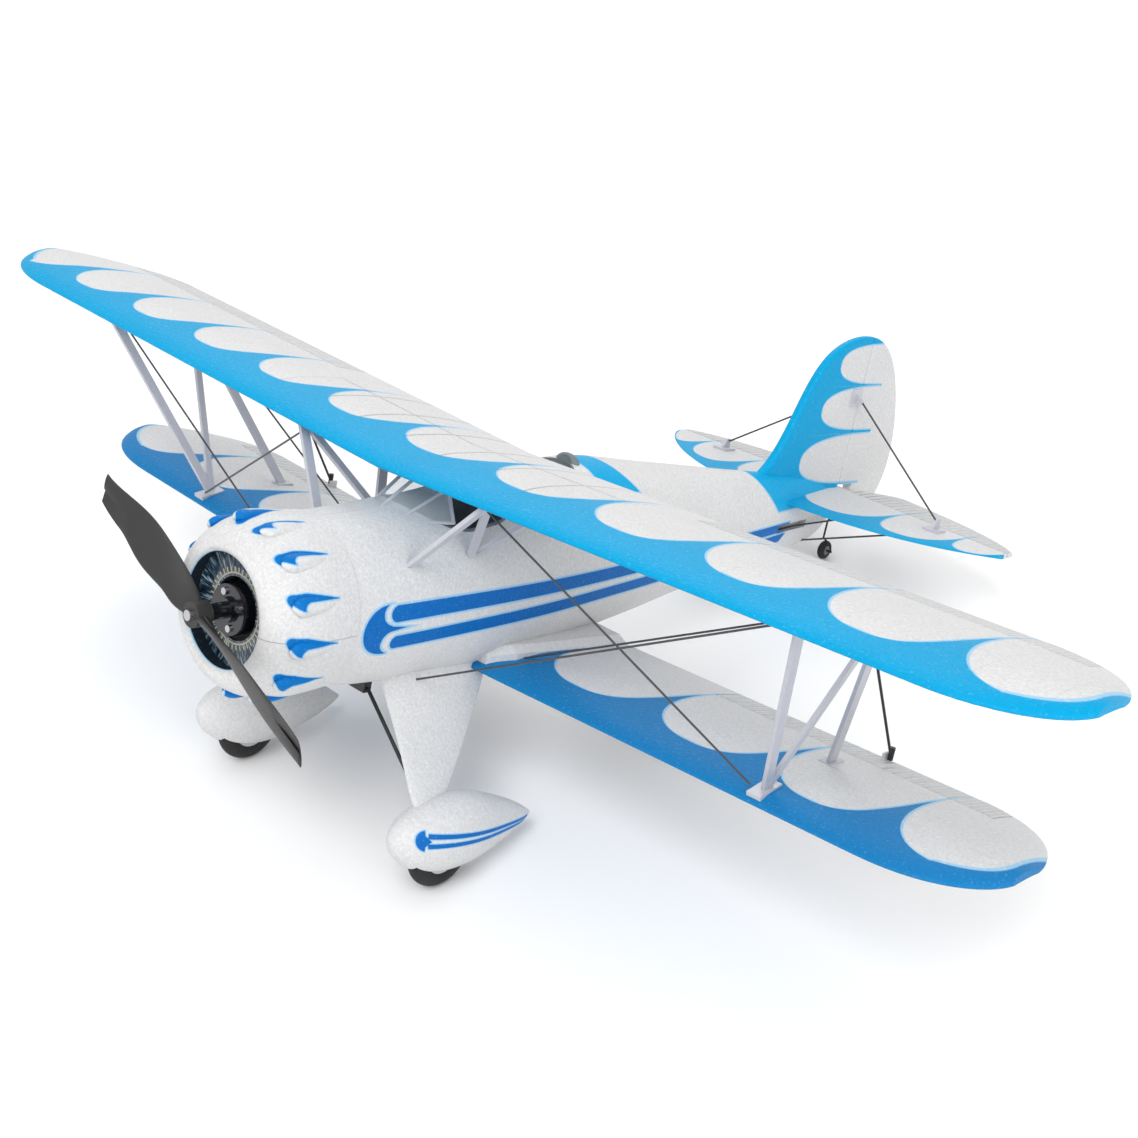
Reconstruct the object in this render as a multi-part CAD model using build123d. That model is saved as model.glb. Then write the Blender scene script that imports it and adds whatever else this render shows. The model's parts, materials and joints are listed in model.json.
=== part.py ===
from build123d import *
import math
import os

# Small foam biplane with an electric motor, standing on its three wheels.
# It is drawn in aircraft axes, in millimetres: X to port, Y aft, Z up, with the thrust line on Z = 0 and the
# upper wing's hinge line at Y = 0. The last section turns it nose up onto its wheels.

# ---------------------------------------------------------------- driving dimensions
SPAN = 550.0
DIHEDRAL = 2.5
FOIL_THICKNESS = 0.085
FOIL_CAMBER = 0.035
TRAIL_THICKNESS = 0.9
BEVEL = 30.0
HINGE_GAP = 0.3
END_GAP = 0.6

UPPER_LEAD = -63.0
UPPER_HINGE = 0.0
UPPER_TRAIL = 18.0
UPPER_ROOT_Z = 49.0
UPPER_AILERON = (100.0, 252.0)

LOWER_HALF = 247.0
LOWER_LEAD = -18.0
LOWER_HINGE = 47.7
LOWER_TRAIL = 66.0
LOWER_ROOT_Z = -29.0
LOWER_ROOT_X = 18.0
LOWER_AILERON = (92.0, 216.0)

TIP_LENGTH = 46.0
TIP_FOCUS = 0.38
TIP_RISE = 3.0
LINK_X = 161.6

NOSE_Y = -89.0
TAIL_Y = 243.0
WALL = 5.0
COWL_RADIUS = 33.2
COWL_MOUTH = 20.7
COWL_FRONT = -124.5
BUMP_COUNT = 13

HUB_Y = -136.7
PROP_RADIUS = 70.0
PROP_ANGLE = 23.0
SHAFT_RADIUS = 0.75
BELL_RADIUS = 9.2
BELL_FRONT = -121.0

WHEEL_X = 58.0
WHEEL_Y = -55.0
WHEEL_Z = -81.4
WHEEL_RADIUS = 14.0
WHEEL_WIDTH = 8.0
TAIL_WHEEL_Y = 250.5
TAIL_WHEEL_Z = -13.7
TAIL_WHEEL_RADIUS = 4.8

FIN_HINGE = 247.0
FIN_THICKNESS = 4.6
STAB_Z = 18.5
STAB_HALF = 99.5
STAB_HINGE = 246.0
STAB_THICKNESS = 4.4
HORN_ARM = 12.5
RUNNING = 0.05

HATCH = (-50.0, 4.0, 13.0)
TRAY_Z = -13.0

# fuselage stations: Y, half width, top, bottom, corner exponent
BODY = [
    (NOSE_Y, 32.0, 32.0, -32.0, 2.0),
    (-70.0, 32.4, 32.4, -33.2, 2.1),
    (-45.0, 32.4, 34.5, -34.5, 2.15),
    (-15.0, 32.0, 38.0, -34.5, 2.3),
    (20.0, 30.5, 43.0, -32.5, 2.4),
    (45.0, 28.5, 45.5, -30.0, 2.3),
    (80.0, 25.0, 42.5, -25.5, 2.3),
    (120.0, 20.0, 38.0, -20.0, 2.2),
    (160.0, 15.0, 33.5, -14.5, 2.1),
    (200.0, 9.5, 29.5, -9.5, 2.0),
    (228.0, 5.5, 25.0, -6.5, 2.0),
    (TAIL_Y, 3.2, 20.0, 4.0, 2.0),
]
CAVITY_END = 9

nodes = {}


# ---------------------------------------------------------------- helpers
def rod(start, end, radius):
    """Round bar between two points."""
    start, end = Vector(start), Vector(end)
    bar = Cylinder(radius, (end - start).length, align=(Align.CENTER, Align.CENTER, Align.MIN))
    return Plane(origin=start, z_dir=end - start) * bar


def wire_chain(points, radius):
    """Bent wire: round bars with a ball at each bend."""
    body = rod(points[0], points[1], radius)
    for start, end in zip(points[1:], points[2:]):
        body = body + Pos(*start) * Sphere(radius) + rod(start, end, radius)
    return body


def flat_bar(start, end, width, thickness, lengthen=0.0):
    """Flat bar between two points, its width in the fore and aft direction."""
    start, end = Vector(start), Vector(end)
    along = (end - start).normalized()
    start, end = start - along * lengthen, end + along * lengthen
    across = Vector(0, 1, 0)
    across = (across - along * across.dot(along)).normalized()
    bar = Box(width, thickness, (end - start).length, align=(Align.CENTER, Align.CENTER, Align.MIN))
    return Plane(origin=start, x_dir=across, z_dir=along) * bar


def span_box(x_range, y_range, z_range):
    """Box from three low and high pairs."""
    size = [high - low for low, high in (x_range, y_range, z_range)]
    middle = [(high + low) / 2 for low, high in (x_range, y_range, z_range)]
    return Pos(*middle) * Box(*size)


def disc_y(radius, y_low, y_high, x=0.0, z=0.0):
    """Cylinder along Y."""
    return rod((x, y_low, z), (x, y_high, z), radius)


def disc_x(radius, x_low, x_high, y, z):
    """Cylinder along X."""
    return rod((x_low, y, z), (x_high, y, z), radius)


def port(shape):
    return shape


def starboard(shape):
    return mirror(shape, about=Plane.YZ)


SIDES = {"left": port, "right": starboard}


def add_pair(name, shape):
    """The same piece on both sides, each its own node."""
    for side, place in SIDES.items():
        nodes[f"{name}_{side}"] = place(shape)


def add_group(name, shapes):
    """Pieces that share one node, on both sides of the centre plane."""
    nodes[name] = Compound(children=[place(shape) for shape in shapes for place in SIDES.values()])


def main_solid(shape):
    """The largest solid, without the crumbs that a cut leaves."""
    return max(shape.solids(), key=lambda solid: solid.volume)


def closed_curve(points):
    marks = [i / len(points) for i in range(len(points) + 1)]
    return Wire([Edge.make_spline([Vector(*point) for point in points], periodic=True, parameters=marks)])


def prism(points, low, high, plane):
    """Straight-sided block with the given outline."""
    face = make_face(plane * Polyline(*points, close=True))
    return extrude(face, high - low, dir=plane.z_dir).moved(Location(plane.z_dir * low))


# ---------------------------------------------------------------- wings
def foil_heights(s):
    """Upper and lower surface of the wing section, as fractions of the chord."""
    shape = 0.2969 * math.sqrt(s) - 0.126 * s - 0.3516 * s**2 + 0.2843 * s**3 - 0.1036 * s**4
    half = 5 * FOIL_THICKNESS * shape
    peak = 0.4
    if s < peak:
        camber = FOIL_CAMBER / peak**2 * (2 * peak * s - s * s)
    else:
        camber = FOIL_CAMBER / (1 - peak)**2 * (1 - 2 * peak + 2 * peak * s - s * s)
    return camber + half, camber - half


FOIL_STEPS = [(1 - math.cos(math.pi * i / 9)) / 2 for i in range(10)]


def foil_points(fullness, blunt):
    """Section of unit chord, from the top of the trailing edge round the nose to its underside."""
    upper = [(s, foil_heights(s)[0] * fullness + blunt * s) for s in FOIL_STEPS]
    lower = [(s, foil_heights(s)[1] * fullness - blunt * s) for s in FOIL_STEPS]
    return upper[::-1] + lower[1:]


def foil_marks():
    """Distance along the section at each point, as a fraction, the same for every station."""
    points = foil_points(1.0, 0.005)
    lengths = [0.0]
    for start, end in zip(points, points[1:]):
        lengths.append(lengths[-1] + math.dist(start, end))
    return [length / lengths[-1] for length in lengths]


def foil_wire(x, lead, trail, fullness=1.0, rise=0.0):
    """Wing section at one station along the panel, with a blunt trailing edge."""
    chord = trail - lead
    blunt = TRAIL_THICKNESS / 2 * min(1.0, chord / 40) / chord
    section = foil_points(fullness, blunt)
    outline = [Vector(x, lead + chord * s, chord * height + rise) for s, height in section]
    skin = Edge.make_spline(outline, parameters=foil_marks())
    return Wire([skin, Edge.make_line(skin @ 1, skin @ 0)])


def panel(half_span, lead, trail, inner):
    """One wing panel, straight along X, with a rounded tip."""
    start = half_span - TIP_LENGTH
    straight = Solid.make_loft([foil_wire(inner, lead, trail), foil_wire(start, lead, trail)], True)
    focus = lead + TIP_FOCUS * (trail - lead)
    sections = []
    for step in (0.0, 0.25, 0.45, 0.62, 0.76, 0.87, 0.94, 0.98):
        shrink = (1 - step**2.2)**0.5
        fullness = shrink**-0.45
        near, far = focus - (focus - lead) * shrink, focus + (trail - focus) * shrink
        sections.append(foil_wire(start + step * TIP_LENGTH, near, far, fullness, TIP_RISE * (1 - shrink)))
    return Part() + straight + Solid.make_loft(sections)


def hinge_height(lead, trail, hinge):
    s = (hinge - lead) / (trail - lead)
    return foil_heights(s)[0] * (trail - lead) + TRAIL_THICKNESS / 2 * s


def split_aileron(wing, lead, trail, hinge, x_range):
    """Cut the aileron out of a panel; it turns about the skin line on top, with a bevel below."""
    top = hinge_height(lead, trail, hinge)
    depth = 12.0
    slope = math.tan(math.radians(BEVEL))
    rear = hinge + 60.0
    moving_outline = [
        (hinge + HINGE_GAP, top + depth),
        (rear, top + depth),
        (rear, top - depth),
        (hinge + HINGE_GAP + depth * slope, top - depth),
        (hinge + HINGE_GAP, top),
    ]
    low, high = x_range
    moving = prism(moving_outline, low + END_GAP, high - END_GAP, Plane.YZ)
    gap = span_box((low, high), (hinge, rear), (top - 2 * depth, top + 2 * depth))
    return wing - gap, wing & moving


def seat_panel(shape, root_z):
    """Give a straight panel its dihedral and height."""
    return Pos(0, 0, root_z) * Rot(0, -DIHEDRAL, 0) * shape


def panel_point(x, y, height, root_z):
    """Aircraft position of a point at the given place on a panel."""
    lift = math.radians(DIHEDRAL)
    return Vector(x, y, root_z + x * math.tan(lift) + height / math.cos(lift))


upper_half = panel(SPAN / 2 / math.cos(math.radians(DIHEDRAL)), UPPER_LEAD, UPPER_TRAIL, -4.0)
upper_fixed, upper_aileron = split_aileron(upper_half, UPPER_LEAD, UPPER_TRAIL, UPPER_HINGE, UPPER_AILERON)
upper_port = seat_panel(upper_fixed, UPPER_ROOT_Z) & span_box((0, SPAN), (-200, 200), (-100, 200))
upper_wing = upper_port + starboard(upper_port)
upper_aileron = seat_panel(upper_aileron, UPPER_ROOT_Z)

lower_half = panel(LOWER_HALF, LOWER_LEAD, LOWER_TRAIL, LOWER_ROOT_X)
lower_fixed, lower_aileron = split_aileron(lower_half, LOWER_LEAD, LOWER_TRAIL, LOWER_HINGE, LOWER_AILERON)
lower_wing = seat_panel(lower_fixed, LOWER_ROOT_Z)
lower_aileron = seat_panel(lower_aileron, LOWER_ROOT_Z)


# ---------------------------------------------------------------- fuselage
def body_ring(station, inset=0.0):
    """Cross-section of the fuselage: an oval with fuller corners amidships."""
    y, half, top, bottom, power = station
    middle = (top + bottom) / 2
    half, height = half - inset, (top - bottom) / 2 - inset
    points = []
    for i in range(24):
        angle = 2 * math.pi * i / 24
        c, s = math.cos(angle), math.sin(angle)
        x = half * math.copysign(abs(c)**(2 / power), c)
        z = height * math.copysign(abs(s)**(2 / power), s)
        points.append((x, y, middle + z))
    return closed_curve(points)


body_outer = Part() + Solid.make_loft([body_ring(station) for station in BODY])
cavity_stations = [(NOSE_Y - 1.0,) + BODY[0][1:]] + BODY[1:CAVITY_END]
body_cavity = Part() + Solid.make_loft([body_ring(station, WALL) for station in cavity_stations])


def slot_block(y_low, y_high, half, low, high):
    """Upright block with half-round ends, for a cockpit opening."""
    centre = (y_low + y_high) / 2
    outline = Pos(0, centre) * SlotOverall(y_high - y_low, 2 * half, rotation=90)
    return extrude(Plane.XY.offset(low) * outline, high - low)


COCKPIT_FLOOR = 12.0
COCKPITS = {"front": (-50.0, 4.0, 22.0), "rear": (14.0, 40.0, 12.5)}
shell = (body_outer & span_box((0, 60), (-120, 300), (-60, 80))) - body_cavity
tubs = []
for y_low, y_high, half in COCKPITS.values():
    well = slot_block(y_low, y_high, half, COCKPIT_FLOOR, 80.0)
    room = slot_block(y_low + 1.0, y_high - 1.0, half - 1.0, COCKPIT_FLOOR + 1.0, 80.0)
    shell = shell - well
    tubs.append((well - room) & body_outer)
nodes["cockpit_tubs"] = Compound(children=tubs)

HATCH_GAP = 0.3
HATCH_TOP = -26.0
BELLY_PAD_Z = -34.0
y_low, y_high, half = HATCH
hatch = (body_outer - body_cavity) & span_box((-half, half), (y_low, y_high), (BELLY_PAD_Z, HATCH_TOP))
nodes["battery_hatch"] = main_solid(hatch)
hatch_hole_y = (y_low - HATCH_GAP, y_high + HATCH_GAP)
shell = shell - span_box((-half - HATCH_GAP, half + HATCH_GAP), hatch_hole_y, (-60, HATCH_TOP))

PUSHROD_X, PUSHROD_Z = 8.6, STAB_Z - HORN_ARM
SERVO_ROD = (4.5, 42.0, -8.0)
EXIT = (PUSHROD_X, 205.0, PUSHROD_Z)
shell = shell - span_box((3.0, 14.0), (188, 216), (PUSHROD_Z - 2, PUSHROD_Z + 2))
shell = shell - rod(SERVO_ROD, EXIT, 1.7)
shell = shell - lower_wing


# ---------------------------------------------------------------- tail surfaces
def stab_edges(x):
    """Leading and trailing edge of the tailplane at a station."""
    reach = min(x / (STAB_HALF + 1.0), 1.0)
    lead = 243.0 - 51.0 * (1 - reach**2.3)**0.8
    trail = STAB_HINGE + 30.5 * math.sqrt(1 - reach**2)
    return lead, trail


def lens(x, lead, trail, thickness, upright):
    """Thin oval section from leading to trailing edge."""
    middle, half = (lead + trail) / 2, (trail - lead) / 2
    points = []
    for i in range(16):
        angle = 2 * math.pi * i / 16
        along, across = middle + half * math.cos(angle), thickness / 2 * math.sin(angle)
        points.append((across, along, x) if upright else (x, along, STAB_Z + across))
    return closed_curve(points)


stab_steps = (0.0, 20.0, 40.0, 60.0, 76.0, 88.0, 95.0, 98.5)
stab_lenses = []
for x in stab_steps:
    lead, trail = stab_edges(x)
    stab_lenses.append(lens(x, lead, trail, STAB_THICKNESS * (1 - 0.45 * x / STAB_HALF), False))
stab_half = Part() + Solid.make_loft(stab_lenses)
stab_half = stab_half & span_box((0.0, 200), (0, 400), (-50, 50))

hinge_tool = [
    (STAB_HINGE + HINGE_GAP, STAB_Z + 12),
    (400.0, STAB_Z + 12),
    (400.0, STAB_Z - 12),
    (STAB_HINGE + HINGE_GAP + 14 * math.tan(math.radians(BEVEL)), STAB_Z - 12),
    (STAB_HINGE + HINGE_GAP, STAB_Z + 2),
]
inner_cut = prism([(0, 240), (5.5, 240), (5.5, 247), (28.0, 284), (0, 284)], 0, 40, Plane.XY)
elevator_half = (stab_half & prism(hinge_tool, 0, 200, Plane.YZ)) - inner_cut
elevator_joiner = disc_x(1.0, -9.0, 9.0, STAB_HINGE + 5.0, STAB_Z)
nodes["elevator"] = elevator_half + starboard(elevator_half) + elevator_joiner
stab_fixed = stab_half & span_box((-1, 200), (0, STAB_HINGE), (0, 40))
stabilizer = stab_fixed + starboard(stab_fixed)

FIN_TOP = 96.5
fin_outline = Spline(
    (175.5, 30.0), (186.0, 40.0), (199.0, 66.0), (213.0, 87.0), (230.0, 95.2), (244.0, FIN_TOP)
)
rear_outline = Spline(
    (244.0, FIN_TOP), (261.0, 90.8), (275.5, 73.0), (284.5, 50.0), (286.5, 30.0), (281.5, 14.0)
)
base_line = Polyline((281.5, 14.0), (240.0, 14.0), (170.0, 14.0), (175.5, 30.0))
fin_sheet = make_face(Plane.YZ * (fin_outline + rear_outline + base_line))
fin_blank = extrude(fin_sheet, FIN_THICKNESS / 2, both=True)
edge_round = [edge for edge in fin_blank.edges().filter_by(GeomType.BSPLINE)]
fin_blank = fillet(edge_round, FIN_THICKNESS / 2 - 0.5)
joiner_notch = span_box((-20, 20), (FIN_HINGE - 4, FIN_HINGE + 9.5), (10, 21.8))
post = FIN_THICKNESS / 2 + HINGE_GAP
rudder_block = rod((0, FIN_HINGE, 0), (0, FIN_HINGE, 200), FIN_THICKNESS / 2)
rudder_block = rudder_block + span_box((-20, 20), (FIN_HINGE, 400), (0, 200))
rudder = (fin_blank & rudder_block) - joiner_notch
fin = fin_blank & span_box((-20, 20), (0, FIN_HINGE - post), (0, 200))
fin = fin - body_outer
add_pair("fuselage", main_solid(shell - stabilizer))
nodes["stabilizer"] = main_solid(stabilizer - fin)
nodes["fin"] = main_solid(fin)

# the tail-wheel leg turns with the rudder
tail_leg_points = [
    (0, FIN_HINGE + 12.0, 20.0),
    (0, FIN_HINGE + 12.0, 9.0),
    (0, FIN_HINGE, 2.0),
    (0, FIN_HINGE, -7.0),
    (4.0, FIN_HINGE + 1.0, -9.5),
    (4.0, TAIL_WHEEL_Y, TAIL_WHEEL_Z),
    (-2.6, TAIL_WHEEL_Y, TAIL_WHEEL_Z),
]
tail_leg = wire_chain(tail_leg_points, 0.5)
nodes["tail_wheel_leg"] = tail_leg
nodes["rudder"] = rudder - tail_leg


def wheel_pieces(radius, width, bore, x, y, z, hub_share):
    """Tyre and hub of one wheel."""
    tyre_ring = Torus(radius - width / 2, width / 2)
    tyre_ring = Plane(origin=(x, y, z), z_dir=(1, 0, 0)) * tyre_ring
    hub_radius = radius * hub_share
    hub = disc_x(hub_radius, x - width * 0.42, x + width * 0.42, y, z) - disc_x(bore, x - 20, x + 20, y, z)
    return tyre_ring - disc_x(hub_radius, x - 20, x + 20, y, z), hub


tail_bore = 0.5 + RUNNING
tail_tyre, tail_hub = wheel_pieces(TAIL_WHEEL_RADIUS, 3.6, tail_bore, 0.0, TAIL_WHEEL_Y, TAIL_WHEEL_Z, 0.52)
nodes["tail_tyre"] = tail_tyre
nodes["tail_wheel_hub"] = tail_hub


# ---------------------------------------------------------------- nose: cowl, motor, propeller
cowl_outer = Spline(
    (NOSE_Y, 32.6), (-98.0, COWL_RADIUS), (-110.0, 32.8), (-118.5, 30.0), (-123.3, 26.0), (COWL_FRONT, 23.0),
    (-123.2, COWL_MOUTH),
)
DISC_SEAT = -117.5
cowl_inner = Polyline(
    (-123.2, COWL_MOUTH), (DISC_SEAT, 21.6), (DISC_SEAT, 24.6), (NOSE_Y, 26.5), (NOSE_Y, 32.6)
)
cowl = revolve(make_face(Plane.YZ * (cowl_outer + cowl_inner)), Axis.Y)
bump_curve = Spline((-118.0, 0.0), (-116.0, 1.9), (-111.5, 2.5), (-102.0, 1.7), (-94.0, 0.0))
bump_base = Line((-94.0, 0.0), (-118.0, 0.0))
bump = revolve(make_face(Plane.YZ * (bump_curve + bump_base)), Axis.Y)
bump = scale(bump, by=(1.4, 1.0, 1.0))
for number in range(BUMP_COUNT):
    turn = 180.0 + 360.0 / BUMP_COUNT * number
    cowl = cowl + Rot(0, turn, 0) * Pos(0, 0, COWL_RADIUS - 1.2) * bump
nodes["cowl"] = cowl

disc_back = DISC_SEAT + 1.0
nodes["dummy_engine_disc"] = disc_y(24.4, DISC_SEAT, disc_back) - disc_y(11.5, -130, -100)

MOUNT_FACE = -103.0
PLATE = 1.6
mount_plate = disc_y(24.0, NOSE_Y - PLATE, NOSE_Y) - disc_y(4.0, -200, 0)
mount_box = span_box((-9, 9), (MOUNT_FACE, NOSE_Y - PLATE), (-9, 9))
mount_box = mount_box - span_box((-7, 7), (MOUNT_FACE + 2.0, NOSE_Y + 5), (-7, 7)) - disc_y(3.0, -120, -80)
SCREW_CIRCLE = 19.0
screw_spots = []
for number in range(4):
    angle = math.radians(45 + 90 * number)
    screw_spots.append((SCREW_CIRCLE * math.cos(angle), SCREW_CIRCLE * math.sin(angle)))
mount = mount_plate + mount_box
screws = []
for x, z in screw_spots:
    mount = mount - disc_y(1.0, -120, 0, x, z)
    head = disc_y(1.9, NOSE_Y - PLATE - 1.2, NOSE_Y - PLATE, x, z)
    screws.append(head + disc_y(0.98, NOSE_Y - PLATE, NOSE_Y, x, z))
nodes["motor_mount"] = mount
nodes["motor_mount_screws"] = Compound(children=screws)

stator_back = MOUNT_FACE
nodes["motor_stator"] = (
    disc_y(6.5, stator_back - 2.0, stator_back) + disc_y(5.4, -118.0, stator_back - 2.0)
    - disc_y(SHAFT_RADIUS + RUNNING, -200, 0)
)
bell = disc_y(BELL_RADIUS, BELL_FRONT, -107.0) - disc_y(7.6, BELL_FRONT + 2.0, -100.0)
bell = bell - disc_y(SHAFT_RADIUS, -200, 0)
adapter = disc_y(4.6, BELL_FRONT - 1.6, BELL_FRONT) + disc_y(3.0, -130.0, BELL_FRONT - 1.6)
adapter = adapter - disc_y(SHAFT_RADIUS, -200, 0)
adapter_screws = []
for number in range(4):
    angle = math.radians(22 + 90 * number)
    x, z = 6.6 * math.cos(angle), 6.6 * math.sin(angle)
    adapter_screws.append(disc_y(1.3, BELL_FRONT - 0.9, BELL_FRONT, x, z))
nodes["motor_bell"] = bell
nodes["prop_adapter"] = adapter
nodes["bell_screws"] = Compound(children=adapter_screws)
nodes["motor_shaft"] = disc_y(SHAFT_RADIUS, HUB_Y + 1.2, MOUNT_FACE - 0.4)

hub = disc_y(4.6, HUB_Y + 0.4, -130.0) - disc_y(SHAFT_RADIUS, -200, 0)
nodes["prop_screw"] = disc_y(1.9, HUB_Y - 1.2, HUB_Y + 0.4) - disc_y(SHAFT_RADIUS, HUB_Y + 1.2, 0)
blade_stations = [
    (2.0, 6.5, 5.0, 55.0),
    (14.0, 11.0, 2.4, 40.0),
    (30.0, 14.0, 1.6, 27.0),
    (50.0, 12.2, 1.1, 18.0),
    (PROP_RADIUS + 3.0, 7.6, 0.8, 13.0),
]
HUB_MIDDLE = -133.0
blade_wires = []
for radius, chord, thickness, twist in blade_stations:
    points = []
    lean = -math.radians(twist)
    for i in range(12):
        angle = 2 * math.pi * i / 12
        u, v = chord / 2 * math.cos(angle), thickness / 2 * math.sin(angle)
        fore = u * math.sin(lean) + v * math.cos(lean)
        side = u * math.cos(lean) - v * math.sin(lean)
        points.append((radius, HUB_MIDDLE + fore, side))
    blade_wires.append(closed_curve(points))
blade = Part() + Solid.make_loft(blade_wires)
tip_cut = Box(16.0, 40, 60, align=(Align.MIN, Align.CENTER, Align.CENTER))
tip_cut = Pos(PROP_RADIUS - 2.8, HUB_MIDDLE, 0) * Rot(0, -30, 0) * tip_cut
blade = (blade - tip_cut) - disc_y(4.0, -200, 0)
propeller = hub + blade + Rot(0, 180, 0) * blade
nodes["propeller"] = Rot(0, PROP_ANGLE, 0) * propeller - nodes["prop_screw"]

# ---------------------------------------------------------------- landing gear
pant_stations = [
    (-81.0, 0.6, 0.6, -71.5), (-79.5, 3.6, 4.6, -72.0), (-74.5, 7.2, 9.4, -72.6), (-64.0, 10.2, 13.8, -73.4),
    (-52.0, 11.0, 15.2, -73.8), (-39.0, 9.6, 13.4, -74.3), (-26.0, 6.6, 9.2, -74.9), (-14.0, 3.0, 4.0, -75.5),
    (-8.6, 0.6, 0.8, -75.8),
]
pant_rings = []
for y, half, height, middle in pant_stations:
    points = []
    for i in range(14):
        angle = 2 * math.pi * i / 14
        points.append((WHEEL_X + half * math.cos(angle), y, middle + height * math.sin(angle)))
    pant_rings.append(closed_curve(points))
pant_outer = Part() + Solid.make_loft(pant_rings)
well_half = WHEEL_WIDTH / 2 + 1.4
well = disc_x(WHEEL_RADIUS + 1.8, WHEEL_X - well_half, WHEEL_X + well_half, WHEEL_Y, WHEEL_Z)
well = well + span_box(
    (WHEEL_X - well_half, WHEEL_X + well_half),
    (WHEEL_Y - WHEEL_RADIUS - 1.8, WHEEL_Y + WHEEL_RADIUS + 1.8),
    (-120, WHEEL_Z),
)

AXLE_RADIUS = 0.75
GEAR_TOP = (11.5, -59.0, -35.6)
gear_points = [
    GEAR_TOP,
    (49.8, -62.0, -62.2),
    (50.4, WHEEL_Y - 3.0, -70.0),
    (50.4, WHEEL_Y, WHEEL_Z),
    (WHEEL_X + 6.6, WHEEL_Y, WHEEL_Z),
]
gear_side = wire_chain(gear_points, AXLE_RADIUS)
gear_bar = disc_x(AXLE_RADIUS, -GEAR_TOP[0], GEAR_TOP[0], GEAR_TOP[1], GEAR_TOP[2])
gear_ends = Pos(*GEAR_TOP) * Sphere(AXLE_RADIUS)
gear_half = gear_side + gear_ends
nodes["gear_wire"] = gear_half + starboard(gear_half) + gear_bar
clamp = span_box((-11, 11), (-60.8, -57.2), (-37.0, -33.0)) - body_outer
nodes["gear_wire_clamp"] = clamp - nodes["gear_wire"]


def leg_ring(x_lead, y_lead, x_trail, y_trail, z, thick):
    """Streamlined section of a gear leg at one height."""
    points = []
    for i in range(16):
        angle = 2 * math.pi * i / 16
        s = (1 - math.cos(angle)) / 2
        side = thick / 2 * math.sin(angle) * (1.25 - 0.5 * s)
        points.append((x_lead + (x_trail - x_lead) * s + side, y_lead + (y_trail - y_lead) * s, z))
    return closed_curve(points)


leg_rings = [
    leg_ring(17.0, -60.5, 17.0, -5.0, -25.0, 13.0),
    leg_ring(24.0, -61.2, 24.0, -12.0, -34.0, 10.5),
    leg_ring(32.0, -63.0, 32.0, -22.0, -41.0, 7.0),
    leg_ring(45.5, -67.0, 45.5, -40.5, -52.5, 5.5),
    leg_ring(56.5, -69.8, 56.5, -56.5, -62.0, 5.0),
]
leg = Part() + Solid.make_loft(leg_rings)
leg = leg - body_outer - pant_outer - lower_wing
pant = pant_outer - well - gear_side
tyre, wheel_hub = wheel_pieces(
    WHEEL_RADIUS, WHEEL_WIDTH, AXLE_RADIUS + RUNNING, WHEEL_X, WHEEL_Y, WHEEL_Z, 0.56
)
collar = disc_x(2.0, WHEEL_X + 3.6, WHEEL_X + 4.9, WHEEL_Y, WHEEL_Z)
collar = collar - disc_x(AXLE_RADIUS, 0, 90, WHEEL_Y, WHEEL_Z)
add_group("gear_legs", [main_solid(leg - gear_side)])
add_group("wheel_pants", [main_solid(pant)])
add_pair("tyre", tyre)
add_pair("wheel_hub", wheel_hub)
add_group("axle_collars", [collar])

# ---------------------------------------------------------------- struts
STRUT_WIDTH = 3.8
STRUT_THICK = 1.6
FRONT_FOOT = panel_point(159.6, -10.0, 3.4, LOWER_ROOT_Z)
REAR_FOOT = panel_point(158.9, 29.4, 5.4, LOWER_ROOT_Z)
FRONT_TOP = panel_point(185.0, -55.0, -0.6, UPPER_ROOT_Z)
REAR_TOP = panel_point(188.5, -12.0, 0.4, UPPER_ROOT_Z)


def n_strut(front_foot, rear_foot, front_top, rear_top, brace, pads):
    """Moulded N of flat bars; brace is the diagonal's two ends, pads are extra foot plates."""
    body = flat_bar(front_foot, front_top, STRUT_WIDTH, STRUT_THICK, 1.5)
    body = body + flat_bar(*brace, STRUT_WIDTH * 0.8, STRUT_THICK, 1.5)
    body = body + flat_bar(rear_foot, rear_top, STRUT_WIDTH, STRUT_THICK, 1.5)
    for pad in pads:
        body = body + pad
    return body


tilt = Rot(0, -DIHEDRAL, 0)
foot_pads = [
    Pos(*(FRONT_FOOT + Vector(0, -1.0, 0.3))) * tilt * Rot(13, 0, 0) * Box(6.0, 12.0, 1.6),
    Pos(*(REAR_FOOT + Vector(0, 0, 0.4))) * tilt * Box(5.0, 9.0, 1.4),
]
interplane = n_strut(FRONT_FOOT, REAR_FOOT, FRONT_TOP, REAR_TOP, (FRONT_FOOT, REAR_TOP), foot_pads)
add_group("interplane_struts", [main_solid(interplane - lower_wing - upper_wing)])

CABANE = [(26.0, -63.0, 19.6), (26.0, -33.0, 19.5), (52.0, -56.0, 50.9), (52.0, -12.0, 51.4)]
cabane = n_strut(*CABANE, (CABANE[1], CABANE[2]), [])
add_group("cabane_struts", [main_solid(cabane - body_outer - upper_wing)])

fairing_stations = [
    (-15.0, 27.5, -27.0, -20.0),
    (-5.0, 34.0, -27.0, -17.8),
    (22.0, 36.5, -27.0, -18.6),
    (57.0, 36.5, -30.0, -20.5),
]
fairing_rings = []
for y, reach, low, high in fairing_stations:
    corners = [(16, low), (reach, low), (reach, high - 2.0), (reach - 4.0, high), (16, high)]
    fairing_rings.append(Wire.make_polygon([Vector(x, y, z) for x, z in corners]))
fairing = Part() + Solid.make_loft(fairing_rings, True)
fairing = fairing - body_outer - lower_wing
fairing = main_solid(fairing)
add_group("wing_root_fairings", [fairing])

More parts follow.
